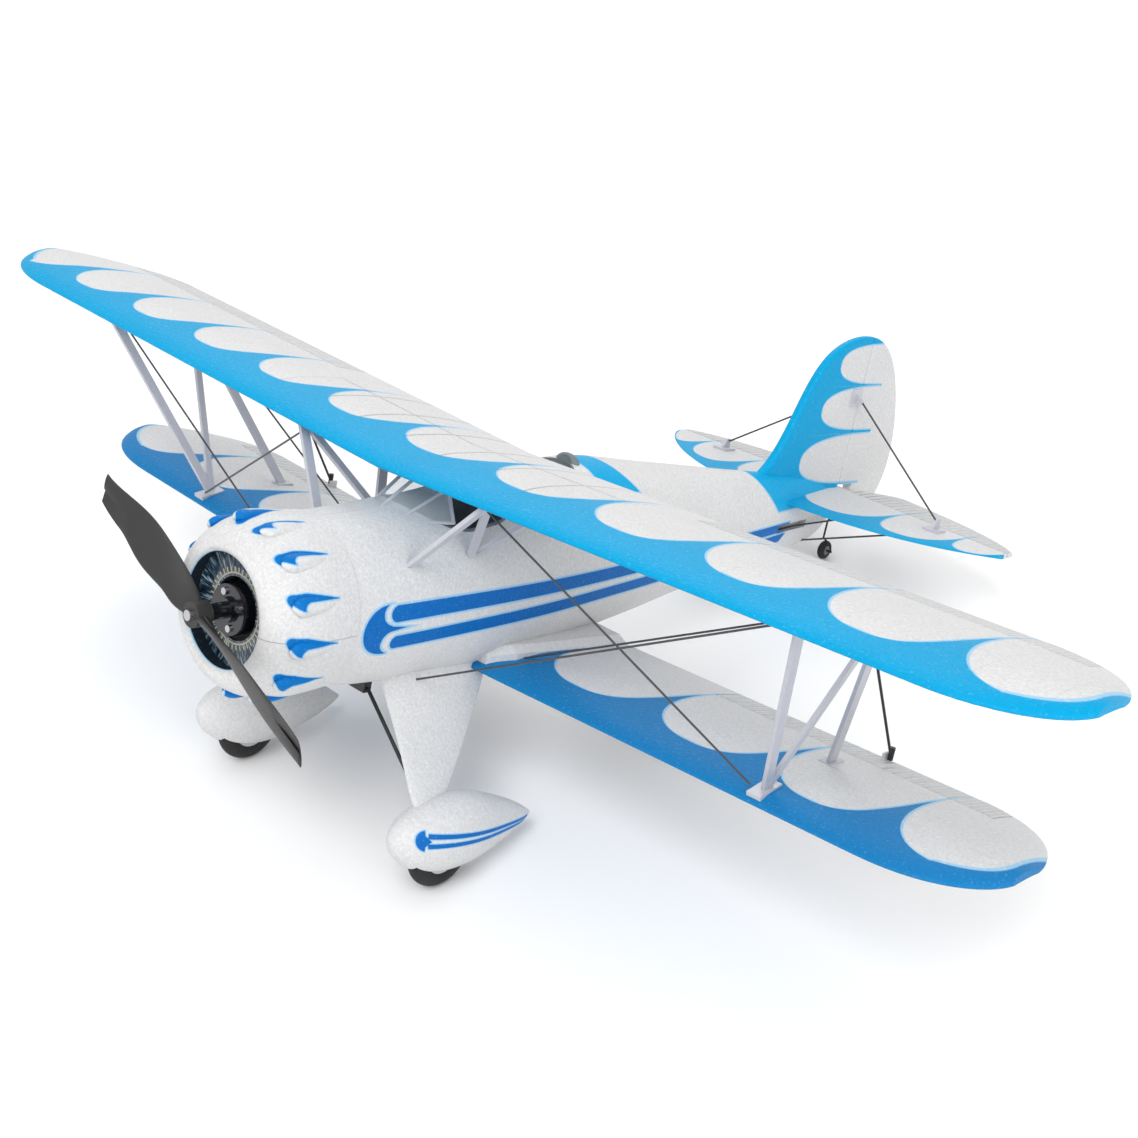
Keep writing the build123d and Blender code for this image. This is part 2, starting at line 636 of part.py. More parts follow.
# ---------------------------------------------------------------- windscreen
SCREEN_THICK = 0.6
centre_base = Vector(0, -59.0, 31.6)
post_base = Vector(8.2, -55.9, 30.1)
post_top = Vector(11.6, -35.9, 42.3)
rear_base = Vector(19.5, -38.0, 31.5)
normal = (post_base - centre_base).cross(post_top - centre_base)
centre_top = Vector(0, -38.0, centre_base.Z - normal.Y / normal.Z * (-38.0 - centre_base.Y))


def pane(corners):
    face = Face(Wire.make_polygon(corners, close=True))
    return extrude(face, SCREEN_THICK)


frame_lines = [
    (centre_base, centre_top), (post_base, post_top), (centre_top, post_top), (rear_base, post_top),
    (centre_base, post_base), (post_base, rear_base),
]
frame = rod(*frame_lines[0], 0.7)
for start, end in frame_lines[1:]:
    piece = rod(start, end, 0.7) + Pos(*start) * Sphere(0.7) + Pos(*end) * Sphere(0.7)
    frame = frame + piece + starboard(piece)
frame = frame - body_outer
nodes["windscreen_frame"] = main_solid(frame)
panes = []
for corners in ([centre_base, post_base, post_top, centre_top], [post_base, rear_base, post_top]):
    glass = pane(corners) - frame - body_outer
    glass = main_solid(glass)
    panes += [glass, starboard(glass)]
nodes["windscreen_panes"] = Compound(children=panes)

headrest = Pos(0, 41.5, 44.0) * scale(Sphere(7.0), by=(0.9, 0.42, 0.62))
rear_pit = COCKPITS["rear"]
headrest = headrest - body_outer - slot_block(rear_pit[0], rear_pit[1], rear_pit[2], 10, 90)
nodes["headrest"] = main_solid(headrest)

# ---------------------------------------------------------------- rigging wires
WIRE_RADIUS = 0.4


def rigging(start, end, low_gap, high_gap):
    """Taut wire that stops short of the surfaces at each end."""
    start, end = Vector(start), Vector(end)
    along = (end - start).normalized()
    return rod(start + along * low_gap, end - along * high_gap, WIRE_RADIUS)


flying_front = rigging((25.0, -48.0, -27.5), FRONT_TOP + Vector(-5.0, 1.0, 0), -2.0, 2.0)
flying_rear = rigging((34.5, -1.4, -22.0), REAR_TOP + Vector(-5.0, 0, 0), -2.0, 2.0)
landing = rigging(FRONT_FOOT + Vector(-2.5, -5.5, 1.5), (48.0, -55.0, 49.0), 0.5, 0.5)
obstacles = [body_outer, leg, lower_wing, upper_wing, interplane, cabane, fairing]
clear_wires = []
for wire in (flying_front, flying_rear, landing):
    for obstacle in obstacles:
        wire = wire - obstacle
    clear_wires.append(main_solid(wire))
add_group("flying_wires", clear_wires[:2])
add_group("landing_wires", clear_wires[2:])

bracket = span_box((60.0, 68.0), (232.0, 240.5), (STAB_Z, STAB_Z + 2.6))
gusset = [(232.5, STAB_Z), (240.3, STAB_Z), (239.2, STAB_Z + 7.0), (237.0, STAB_Z + 7.0)]
bracket = bracket + prism(gusset, 63.4, 64.6, Plane.YZ)
bracket = bracket - stab_half
bracket = main_solid(bracket)
fin_bracket = span_box((FIN_THICKNESS / 2, FIN_THICKNESS / 2 + 0.8), (237.0, 244.0), (62.5, 71))
fin_gusset = [(0.0, 63.5), (FIN_THICKNESS / 2 + 4.0, 64.2), (FIN_THICKNESS / 2 + 4.0, 66.6), (0.0, 70.5)]
fin_bracket = fin_bracket + prism(fin_gusset, -241.6, -240.4, Plane.XZ)
fin_bracket = fin_bracket - fin_blank
fin_bracket = main_solid(fin_bracket)
add_group("tail_brace_brackets", [bracket, fin_bracket])
upper_brace = rod((5.5, 242.1, 65.4), (63.0, 238.0, STAB_Z + 6.0), 0.45)
upper_brace = upper_brace - bracket - fin_bracket
lower_brace = rod((2.5, 221.0, -5.0), (60.5, 227.5, STAB_Z - 0.4), 0.45) - body_outer - stab_half
add_group("tail_braces", [main_solid(upper_brace), main_solid(lower_brace)])

# ---------------------------------------------------------------- controls
LUG = 4.0
LINK_GAP = 0.4
lower_link = panel_point(LINK_X, LOWER_TRAIL - 3.0, 0.0, LOWER_ROOT_Z)
upper_link = panel_point(LINK_X, UPPER_TRAIL - 3.0, 0.0, UPPER_ROOT_Z)
lower_eye = lower_link + Vector(0, 0, LUG - 0.5)
upper_eye = upper_link - Vector(0, 0, LUG - 0.5)
beside = Vector(0.5 + LINK_GAP + 1.1, 0, 0)
link = rod(lower_eye + beside, upper_eye + beside, 0.55)
link = link + rod(lower_eye + beside - Vector(0, 0, 1.6), lower_eye + beside + Vector(0, 0, 3.4), 1.1)
link = link + Pos(*(upper_eye + beside)) * Sphere(1.1)
add_pair("aileron_link", link)
lower_lug = Pos(lower_link.X, lower_link.Y, lower_link.Z + LUG / 2) * Box(1.0, 4.0, LUG)
upper_lug = Pos(upper_link.X, upper_link.Y, upper_link.Z - LUG / 2) * Box(1.0, 4.0, LUG)

SERVO_X = 120.0
AILERON_ARM = 8.0
under = panel_point(SERVO_X, LOWER_HINGE, 0.0, LOWER_ROOT_Z)
LOWER_TOP = hinge_height(LOWER_LEAD, LOWER_TRAIL, LOWER_HINGE)
arm_end_z = under.Z + LOWER_TOP - AILERON_ARM
servo_range = ((SERVO_X - 4, SERVO_X + 4), (10.0, 26.0), (under.Z - 3.5, under.Z + 3.0))
servo = span_box(*servo_range)
lower_wing = lower_wing - servo
push_x = SERVO_X + 1.4
pushrod = rod((push_x, 28.0, arm_end_z), (push_x, LOWER_HINGE + 1.0, arm_end_z), 0.45)
horn_x = push_x + 0.45 + LINK_GAP
horn_outline = [
    (LOWER_HINGE - 1.3, arm_end_z - 1.3), (LOWER_HINGE + 1.5, arm_end_z - 1.3),
    (LOWER_HINGE + 12.0, under.Z + 1.5),
    (LOWER_HINGE + 5.0, under.Z + 1.5), (LOWER_HINGE - 1.3, arm_end_z + 1.3),
]
horn = prism(horn_outline, horn_x, horn_x + 1.0, Plane.YZ)
add_group("aileron_servos", [servo])
add_pair("aileron_pushrod", pushrod)
add_pair("lower_aileron", main_solid(lower_aileron + horn + lower_lug))
add_pair("upper_aileron", main_solid(upper_aileron + upper_lug))
nodes["upper_wing"] = upper_wing
add_pair("lower_wing", main_solid(lower_wing))

tail_horn_outline = [
    (STAB_HINGE - 1.3, PUSHROD_Z - 1.3), (STAB_HINGE + 1.5, PUSHROD_Z - 1.3), (STAB_HINGE + 12.0, STAB_Z),
    (STAB_HINGE + 5.0, STAB_Z), (STAB_HINGE - 1.3, PUSHROD_Z + 1.6),
]
tail_horn_x = PUSHROD_X + 0.45 + LINK_GAP
elevator_horn = prism(tail_horn_outline, tail_horn_x, tail_horn_x + 1.0, Plane.YZ) - nodes["elevator"]
nodes["elevator_horn"] = main_solid(elevator_horn)
nodes["elevator_pushrod"] = wire_chain([SERVO_ROD, EXIT, (PUSHROD_X, STAB_HINGE + 1.0, PUSHROD_Z)], 0.45)
RUDDER_ARM = 9.0
rudder_horn_z = 15.4
rudder_end = (-RUDDER_ARM, FIN_HINGE + 10.0, rudder_horn_z - 0.6 - LINK_GAP - 0.45)
rudder_exit = (-RUDDER_ARM, EXIT[1], PUSHROD_Z)
rudder_start = (-SERVO_ROD[0], SERVO_ROD[1], SERVO_ROD[2])
nodes["rudder_pushrod"] = wire_chain([rudder_start, rudder_exit, rudder_end], 0.45)
plate_z = (rudder_horn_z - 0.6, rudder_horn_z + 0.6)
rudder_plate = span_box((-RUDDER_ARM - 1.3, 0), (FIN_HINGE + 9.6, FIN_HINGE + 12.4), plate_z)
nodes["rudder_horn"] = main_solid(rudder_plate - nodes["rudder"] - tail_leg)

# ---------------------------------------------------------------- radio and battery
tray = span_box((-40, 40), (-58, 46), (TRAY_Z, TRAY_Z + 1.2)) & body_cavity
nodes["radio_tray"] = main_solid(tray)
BATTERY = (18.0, 40.0, 12.0)
battery_y = (HATCH[0] + HATCH[1]) / 2
nodes["battery"] = Pos(0, battery_y, TRAY_Z - BATTERY[2] / 2 - 0.4) * Box(*BATTERY)
board = span_box((-10, 10), (-20, 22), (TRAY_Z + 1.2, TRAY_Z + 2.8))
board = board + span_box((-10, 10), (22, 40), (TRAY_Z + 1.2, TRAY_Z + 2.2))
for x in (-4.5, 4.5):
    board = board + span_box((x - 3.5, x + 3.5), (24, 39), (TRAY_Z + 1.2, TRAY_Z + 4.2))
nodes["receiver_speed_control"] = board

# ---------------------------------------------------------------- stand it on its wheels
rise = TAIL_WHEEL_Z - WHEEL_Z
run = TAIL_WHEEL_Y - WHEEL_Y
wheel_step = math.asin((WHEEL_RADIUS - TAIL_WHEEL_RADIUS) / math.hypot(rise, run))
PITCH = math.degrees(math.atan2(rise, run) + wheel_step)
turned = {name: Rot(-PITCH, 0, 0) * shape for name, shape in nodes.items()}
boxes = [shape.bounding_box() for shape in turned.values()]
middle_y = (min(box.min.Y for box in boxes) + max(box.max.Y for box in boxes)) / 2
stance = math.radians(PITCH)
wheel_low = -WHEEL_Y * math.sin(stance) + WHEEL_Z * math.cos(stance) - WHEEL_RADIUS
SET_DOWN = Pos(0, -middle_y, -wheel_low)


def main():
    os.makedirs("parts", exist_ok=True)
    for name, shape in turned.items():
        export_step(SET_DOWN * shape, f"parts/{name}.step")


if __name__ == "__main__":
    main()
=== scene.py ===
import bpy
import bmesh
import json
import math
from mathutils import Matrix, Vector


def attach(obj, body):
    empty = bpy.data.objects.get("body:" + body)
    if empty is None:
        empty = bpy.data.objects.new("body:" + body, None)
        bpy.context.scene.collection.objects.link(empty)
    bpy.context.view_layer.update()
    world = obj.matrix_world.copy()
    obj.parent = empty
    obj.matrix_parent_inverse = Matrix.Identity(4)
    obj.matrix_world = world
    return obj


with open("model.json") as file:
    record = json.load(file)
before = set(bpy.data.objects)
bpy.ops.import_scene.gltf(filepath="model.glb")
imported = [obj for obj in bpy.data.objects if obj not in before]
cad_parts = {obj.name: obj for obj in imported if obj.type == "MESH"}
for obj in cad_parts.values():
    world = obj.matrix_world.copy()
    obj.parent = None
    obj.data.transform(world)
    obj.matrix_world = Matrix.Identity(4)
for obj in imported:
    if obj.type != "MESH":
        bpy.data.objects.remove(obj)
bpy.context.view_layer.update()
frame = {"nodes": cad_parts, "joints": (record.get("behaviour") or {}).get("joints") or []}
nodes = frame["nodes"]
joints = {joint["name"]: joint for joint in frame["joints"]}

# ------------------------------------------------------------------ aircraft axes
# X to port, Y aft, Z up, in millimetres, with the thrust line on Z = 0.
BELL_FRONT = -121.0
MM = 0.001
spin = joints["propeller_spin"]
axis_y = -Vector(spin["axis"]).normalized()
axis_x = Vector((1, 0, 0))
axis_z = axis_x.cross(axis_y).normalized()
origin = Vector(spin["pos_m"]) - axis_y * BELL_FRONT * MM
PITCH = math.atan2(-axis_y.z, axis_y.y)
TURN = Matrix((axis_x, axis_y, axis_z)).transposed()


def air(x, y, z):
    """Row-frame position of a point given in aircraft axes, in millimetres."""
    return origin + TURN @ Vector((x, y, z)) * MM


# ------------------------------------------------------------------ camera
CAMERA_AT = (448.9, -484.8, 217.7)
CAMERA_RIGHT = Vector((0.7165, 0.672, 0.191)).normalized()
CAMERA_AHEAD = Vector((-0.6084, 0.733, -0.300)).normalized()
SENSOR = 36.0
IMAGE_SIDE = 1138.0
FOCAL = 1750.0 / IMAGE_SIDE * SENSOR
right = (TURN @ (CAMERA_RIGHT - CAMERA_AHEAD * CAMERA_RIGHT.dot(CAMERA_AHEAD))).normalized()
ahead = TURN @ CAMERA_AHEAD
above = right.cross(ahead).normalized()
lens = bpy.data.cameras.new("view")
lens.lens = FOCAL
lens.sensor_width = SENSOR
lens.clip_start = 0.01
camera = bpy.data.objects.new("view", lens)
facing = Matrix((right, above, -ahead)).transposed().to_4x4()
camera.matrix_world = Matrix.Translation(air(*CAMERA_AT)) @ facing
bpy.context.scene.collection.objects.link(camera)
bpy.context.scene.camera = camera


# ------------------------------------------------------------------ shader arithmetic
class Field:
    """A number that varies over a surface, as a chain of Math nodes."""

    def __init__(self, tree, socket):
        self.tree, self.socket = tree, socket

    def make(self, operation, *others, clamp=False):
        node = self.tree.nodes.new("ShaderNodeMath")
        node.operation = operation
        node.use_clamp = clamp
        for slot, value in zip(node.inputs, (self,) + others):
            if isinstance(value, Field):
                self.tree.links.new(value.socket, slot)
            else:
                slot.default_value = value
        return Field(self.tree, node.outputs[0])

    def flip(self, operation, other):
        node = self.tree.nodes.new("ShaderNodeMath")
        node.operation = operation
        node.inputs[0].default_value = other
        self.tree.links.new(self.socket, node.inputs[1])
        return Field(self.tree, node.outputs[0])

    def __add__(self, other): return self.make("ADD", other)
    def __radd__(self, other): return self.make("ADD", other)
    def __sub__(self, other): return self.make("SUBTRACT", other)
    def __rsub__(self, other): return self.flip("SUBTRACT", other)
    def __mul__(self, other): return self.make("MULTIPLY", other)
    def __rmul__(self, other): return self.make("MULTIPLY", other)
    def __truediv__(self, other): return self.make("DIVIDE", other)
    def __rtruediv__(self, other): return self.flip("DIVIDE", other)
    def __pow__(self, other): return self.make("POWER", other)
    def low(self, other): return self.make("MINIMUM", other)
    def high(self, other): return self.make("MAXIMUM", other)
    def size(self): return self.make("ABSOLUTE")
    def root(self): return self.high(0.0).make("SQRT")
    def floor(self): return self.make("FLOOR")
    def sine(self): return self.make("SINE")
    def clamp(self): return self.make("ADD", 0.0, clamp=True)

    def above(self, level, soft):
        """0 to 1 as the value passes level, over a width of soft."""
        return ((self - level) / soft + 0.5).clamp()


def blend_value(a, b, share):
    """a where share is 0, b where it is 1."""
    return a + (b - a) * share


def position(tree):
    """X, Y and Z of the surface in aircraft millimetres, carried along with the piece."""
    where = tree.nodes.new("ShaderNodeTexCoord")
    turn = tree.nodes.new("ShaderNodeMapping")
    turn.inputs["Rotation"].default_value = (PITCH, 0, 0)
    turn.inputs["Scale"].default_value = (1 / MM,) * 3
    shift = Matrix.Rotation(PITCH, 3, "X") @ (origin / MM)
    turn.inputs["Location"].default_value = -shift
    tree.links.new(where.outputs["Object"], turn.inputs["Vector"])
    parts = tree.nodes.new("ShaderNodeSeparateXYZ")
    tree.links.new(turn.outputs[0], parts.inputs[0])
    return turn.outputs[0], [Field(tree, socket) for socket in parts.outputs]


def combine(tree, x, y, z):
    """Vector socket made of three fields or numbers."""
    node = tree.nodes.new("ShaderNodeCombineXYZ")
    for slot, value in zip(node.inputs, (x, y, z)):
        if isinstance(value, Field):
            tree.links.new(value.socket, slot)
        else:
            slot.default_value = value
    return node.outputs[0]


def noise(tree, vector, scale, detail=2.0, roughness=0.5):
    """Smooth noise; scale is in features per millimetre."""
    node = tree.nodes.new("ShaderNodeTexNoise")
    node.inputs["Scale"].default_value = scale
    node.inputs["Detail"].default_value = detail
    node.inputs["Roughness"].default_value = roughness
    tree.links.new(vector, node.inputs["Vector"])
    return Field(tree, node.outputs["Fac"])


def beads_of(tree, vector, scale):
    """Distance from the edges of the foam's beads."""
    node = tree.nodes.new("ShaderNodeTexVoronoi")
    node.inputs["Scale"].default_value = scale
    node.feature = "DISTANCE_TO_EDGE"
    tree.links.new(vector, node.inputs["Vector"])
    return Field(tree, node.outputs["Distance"])


def mix(tree, share, first, second):
    """Colour mix; first and second are colours or sockets."""
    node = tree.nodes.new("ShaderNodeMix")
    node.data_type = "RGBA"
    tree.links.new(share.socket, node.inputs["Factor"])
    for slot, value in ((node.inputs["A"], first), (node.inputs["B"], second)):
        if isinstance(value, bpy.types.NodeSocket):
            tree.links.new(value, slot)
        else:
            slot.default_value = (*value, 1.0)
    return [out for out in node.outputs if out.type == "RGBA"][0]


def surface(name, roughness=0.5, metallic=0.0, **sockets):
    """New material with one Principled shader."""
    material = bpy.data.materials.new(name)
    material.use_nodes = True
    tree = material.node_tree
    shader = tree.nodes["Principled BSDF"]
    shader.inputs["Roughness"].default_value = roughness
    shader.inputs["Metallic"].default_value = metallic
    for key, value in sockets.items():
        shader.inputs[key.replace("_", " ")].default_value = value
    return material, tree, shader


def relief(tree, shader, height, depth):
    """Bump from a height field in millimetres."""
    node = tree.nodes.new("ShaderNodeBump")
    node.inputs["Strength"].default_value = 1.0
    node.inputs["Distance"].default_value = depth
    tree.links.new(height.socket, node.inputs["Height"])
    tree.links.new(node.outputs[0], shader.inputs["Normal"])


# ------------------------------------------------------------------ painted foam
WHITE = (0.67, 0.67, 0.675)
GREY = (0.50, 0.50, 0.505)
CYAN = (0.0, 0.335, 0.63)
# Darker copy of the wing blue for the lower wings, as painted shade.
LOWER_SHADED_BLUE = (0.010, 0.195, 0.47)
DECAL = (0.004, 0.135, 0.46)
HALO = (0.30, 0.52, 0.70)
# Near-white colour of the painted glints on the foam.
PAINTED_GLINT = (0.86, 0.88, 0.90)
EDGE = 0.35


def foam(name, paint=None, blue=CYAN, grooves=None, grain=1.0, accent=CYAN):
    """Moulded bead foam with painted glints for a pearl look; paint gives the blue mask and its light
    outline.
    """
    material, tree, shader = surface(name, 0.42, Specular_IOR_Level=0.09)
    vector, (x, y, z) = position(tree)
    beads = beads_of(tree, vector, 0.42)
    grit = noise(tree, vector, 0.85, 3.0, 0.6)
    speck = noise(tree, vector, 1.1, 1.0).above(0.62, 0.12)
    cloud = noise(tree, vector, 0.03, 2.0)
    # Scattered spots that are painted glints: they are mixed towards near-white and made a little glossier.
    glint_spots = noise(tree, vector, 1.0, 2.0).above(0.66, 0.06)
    tone = (0.25 + cloud * 0.3 + (grit - 0.5) * 1.5 - speck * 0.25).clamp()
    colour = mix(tree, tone, WHITE, GREY)
    shine = noise(tree, vector, 0.9, 2.0)
    glint = glint_spots * 0.3
    bare = 1.0
    if paint:
        mask, halo, *second = paint(tree, x, y, z)
        colour = mix(tree, halo, colour, HALO)
        worn = ((grit - 0.35) * 1.3 + cloud * 0.3).clamp()
        dye = mix(tree, worn, blue, tuple(c * 0.80 for c in blue))
        # The second mask takes the accent colour; on the cowl this is the painted shade inside the mouth.
        if second:
            dye = mix(tree, second[0], dye, accent)
        colour = mix(tree, mask, colour, dye)
        glint = glint_spots * (0.3 - mask * 0.24)
        bare = 1.0 - mask * 0.9
    # Painted highlight: the glint spots are mixed towards near-white.
    colour = mix(tree, glint, colour, PAINTED_GLINT)
    tree.links.new(colour, shader.inputs["Base Color"])
    rough = 0.34 + shine * 0.18 - glint_spots * 0.15
    tree.links.new(rough.socket, shader.inputs["Roughness"])
    height = beads.low(0.35) * 0.10 + grit * 0.16 * grain
    if grooves:
        height = height + grooves(tree, x, y, z) * bare
    relief(tree, shader, height, 0.0015)
    return material


def outlined(distance, width=0.9):
    """Mask and light outline from a signed distance, positive inside the paint."""
    return distance.above(0.0, EDGE), distance.above(-width, EDGE)


def oval_edge(t, y, nose, end, spread, blunt=4.6, thin=0.05):
    """Signed field, positive outside a blunt white oval that opens aft.

    t runs from -1 to 1 across one cell; the thin blue spikes between cells stop at end.
    """
    reach = ((end - y) / (end - nose)).clamp()
    fade = 1.0 - (reach / 0.75).clamp()
    half = (1.0 - reach ** blunt).high(0.0) ** 0.44 * (1.0 - thin + fade * (thin + 0.03))
    return ((t.size() - half) * spread).high(nose - y)


UPPER_LEAD, UPPER_TRAIL = -63.0, 18.0
LOWER_LEAD, LOWER_TRAIL = -18.0, 66.0
TIP_FOCUS, TIP_LENGTH = 0.38, 46.0


def wing_paint(cell_of, lead, trail, half, nose, lean, end, last, tip_centre):
    """Blue leading edge with white ovals and thin spikes between them."""
    focus = lead + TIP_FOCUS * (trail - lead)
    tip_share = (tip_centre - (half - TIP_LENGTH)) / (TIP_LENGTH - 4.0)
    tip_depth = (focus - (nose - tip_centre * lean)) / math.sqrt(1.0 - tip_share ** 2.2)

    def paint(tree, x, y, z):
        span = x.size()
        cell = cell_of(x)
        number = cell.floor()
        t = (cell - number - 0.5) * 2.0
        oval = oval_edge(t, y, nose - span * lean, end, 22.0)
        out = (span - (half - TIP_LENGTH)).high(0.0) / (TIP_LENGTH - 4.0)
        fore = (y - focus).low(0.0) / tip_depth
        band = ((out ** 2.2 + fore * fore).root() - 1.0) * 20.0
        outer = (cell.size() - (last + 0.5)).above(0.0, 0.02)
        field = blend_value(oval, band, outer)
        return outlined(field)

    return paint


def upper_cell(x):
    """Scallop count along the upper wing, from the middle of the first cell's inner edge."""
    t = x + 22.0
    return t.high(0.0) / 49.8 + t.low(0.0) / 42.7


def lower_cell(x):
    """Scallop count along each lower wing."""
    span = x.size()
    port = ((span - 36.0) / 56.0).high((span - 148.0) / 50.0 + 2.0)
    starboard = (span - 52.0) / 48.0
    return blend_value(starboard, port, x.above(0.0, 0.1))


upper_paint = wing_paint(upper_cell, UPPER_LEAD, UPPER_TRAIL, 275.0, -43.5, 0.04, 9.0, 5.0, 251.9)
lower_paint = wing_paint(lower_cell, LOWER_LEAD, LOWER_TRAIL, 246.8, -2.0, 0.022, 56.0, 3.0, 221.5)


def corrugated(x_pitch):
    """Fine chordwise corrugation of the control surfaces."""

    def grooves(tree, x, y, z):
        return (x * (2 * math.pi / x_pitch)).sine() * 0.4

    return grooves


def upper_ribs(tree, x, y, z):
    """Raised moulded ribs over the middle of the upper wing."""
    span = x.size()
    rib = (((x / 22.9).make("FRACT") - 0.5).size() * 22.9)
    chordwise = 1.0 - (rib - 0.2).above(0.0, 0.8)
    spar = 1.0 - ((y + 14.0).size() - 0.3).above(0.0, 0.8)
    middle = 1.0 - (span - 78.0).above(0.0, 12.0)
    return chordwise.high(spar) * (middle * 0.5 + 0.12)


upper_wing_foam = foam("upper_wing_foam", upper_paint, CYAN, upper_ribs)
upper_aileron_foam = foam("upper_aileron_foam", upper_paint, CYAN, corrugated(4.58))
# Lower wing and ailerons take the darker blue, which is painted shade.
lower_wing_foam = foam("lower_wing_foam", lower_paint, LOWER_SHADED_BLUE)
lower_aileron_foam = foam("lower_aileron_foam", lower_paint, LOWER_SHADED_BLUE, corrugated(4.58))


def stab_paint(tree, x, y, z):
    """Blue leading edge of the stabiliser with three white ovals on each side."""
    span = x.size()
    cell = (span / 43.0).high((span - 43.0) / 34.0 + 1.0).high((span - 77.0) / 26.0 + 2.0)
    t = (cell - cell.floor() - 0.5) * 2.0
    reach = (span / 100.5).clamp()
    front = 243.0 - 51.0 * (1.0 - reach ** 2.3).root()
    nose = front + 9.0 + 3.0 * (1.0 - reach)
    oval = oval_edge(t, y, nose, 262.0, 16.0, 5.0, 0.03)
    band = (front + 5.0) - y
    return outlined(oval.high(band), 0.7)


def fin_paint(tree, x, y, z):
    """Blue leading edge of the fin with three white lobes."""
    low = z.above(48.6, 0.05)
    top = z.above(72.6, 0.05)
    centre = 35.6 + low * 25.6 + top * 22.2
    half = 12.8 - low * 1.6 - top * 1.0
    nose = 206.0 + (centre - 35.6) * 0.32
    t = (z - centre) / half
    lobe = oval_edge(t, y, nose, 263.0, 11.0, 3.6, 0.03)
    lobe = lobe.low((z - 22.4).high(243.5 - y))
    base = (22.4 - z).low(243.0 - y)
    shade = lobe.high(base) * (1.0 - y.above(262.0, 0.5)) - y.above(262.0, 0.5) * 5.0
    return outlined(shade, 0.7)


tail_foam = foam("tail_foam", stab_paint, CYAN)
elevator_foam = foam("elevator_foam", stab_paint, CYAN, corrugated(3.6))
fin_foam = foam("fin_foam", fin_paint, CYAN)
plain_foam = foam("plain_foam")


def between(value, low, high):
    """Signed field, positive between two levels."""
    return (value - low).low(high - value)


def bar(y, z, front, middle, half):
    """Signed field of a stripe along the body with a round front end."""
    ahead = ((front + half) - y).high(0.0)
    return half - (ahead * ahead + (z - middle) ** 2.0).root()


def oval(y, z, y_middle, z_middle, y_half, z_half):
    """Signed field, positive inside an upright oval."""
    square = ((y - y_middle) / y_half) ** 2.0 + ((z - z_middle) / z_half) ** 2.0
    return (1.0 - square.root()) * min(y_half, z_half)


def body_paint(tree, x, y, z):
    """Side stripes that start at a forked head, blue tail block and blue point on the deck."""
    upper = bar(y, z, -73.6, 5.0 + y * 0.0085, 2.9 - y * 0.0035)
    upper = upper.low(198.0 - y + (z - 8.0) * 0.6)
    lower = bar(y, z, -72.0, -4.7 + y * 0.0298, 2.5 - y * 0.0012)
    lower = lower.low(196.0 - y + (z - 2.0) * 0.6)
    head = oval(y, z, -74.3, -1.4, 11.4, 9.6).low(-72.6 - y)
    head = head.low(0.0 - oval(y, z, -71.0, 4.6, 5.9, 4.6)).low(0.0 - oval(y, z, -70.8, -6.4, 5.8, 4.6))
    point = ((-64.8 - y) * 0.13 - (z + 1.1).size()).low(y + 78.0)
    head = head.high(point)
    tail = ((z - 31.6 + (y - 167.7) * 0.95) * 0.7).low(z - 15.5).low(y - 160.0)
    wedge = (z - 36.0).low(y - 44.0).low((60.0 - y) + (44.0 - z) * 1.1)
    bright = tail.high(wedge)
    return (*outlined(upper.high(lower).high(head).high(bright), 0.8), bright.above(0.0, EDGE))


def body_creases(tree, x, y, z):
    """Moulded rim near the tail, and the joint of the two halves."""
    rim = 1.0 - ((y - 158.0 - (z - 10.0) * 0.15).size() - 0.2).above(0.0, 1.2)
    joint = 1.0 - (x.size() - 0.05).above(0.0, 0.5)
    return rim * -0.18 - joint * 0.2


body_foam = foam("body_foam", body_paint, DECAL, body_creases)

BUMPS = 13
BUMP_STEP = 360.0 / BUMPS
COWL_SKIN = 33.5
MOUTH_RADIUS = 22.4
FLASH_RISE = 1.6
DEGREES = 180 / math.pi


def cowl_paint(tree, x, y, z):
    """One blue hook-shaped flash on each cowl bump, and painted shade on the wall inside the mouth."""
    angle = x.size().make("ARCTAN2", z) * DEGREES
    middle = ((angle / BUMP_STEP).floor() + 0.5) * BUMP_STEP
    up = (middle - angle) * (COWL_SKIN / DEGREES) - FLASH_RISE
    t = ((y + 111.5) / 13.0).clamp()
    tail = (3.1 - t * 3.0 - up).low(up + 0.2).low(y + 115.5).low(-98.2 - y)
    head = oval(y + up * 0.45, up, -115.0, 0.1, 3.0, 3.2)
    bite = oval(y, up, -110.9, -2.3, 3.0, 2.1)
    flash = tail.high(head).low(0.0 - bite)
    # Painted shade: the wall inside the cowl mouth is coloured near-black navy.
    mouth_shade = (MOUTH_RADIUS - (x * x + z * z).root()).low(y + 123.0)
    return (*outlined(flash.high(mouth_shade), 0.5), mouth_shade.above(0.0, EDGE))


def cowl_seams(tree, x, y, z):
    """Horizontal split between the two halves of the cowl."""
    split = 1.0 - ((z + 1.4).size() - 0.05).above(0.0, 0.45)
    return split * -0.3


FLASH = (0.002, 0.16, 0.50)
# Near-black navy used as painted shade inside the cowl mouth.
MOUTH_SHADE_NAVY = (0.012, 0.02, 0.03)
cowl_foam = foam("cowl_foam", cowl_paint, FLASH, cowl_seams, 0.8, MOUTH_SHADE_NAVY)


def pants_paint(tree, x, y, z):
    """Two stripes that join at the tail, behind a forked head."""
    line = -69.8 - (y + 73.0) * 0.11
    back = ((y + 70.0) / 58.0).clamp()
    off = (z - line).size()
    stripe = (0.95 - back * 0.45) - (off - (1.85 - back * 1.2)).size()
    stripe = stripe.low(y + 71.0 - off * 0.3).low(-11.0 - y)
    head = oval(y, z - line, -70.5, 0.0, 4.6, 3.9).low(-71.4 - y + (2.0 - off).high(0.0) * 1.2)
    outside = x.size() - 59.0
    return outlined(stripe.high(head).low(outside * 4.0), 0.4)


pants_foam = foam("pants_foam", pants_paint, DECAL)


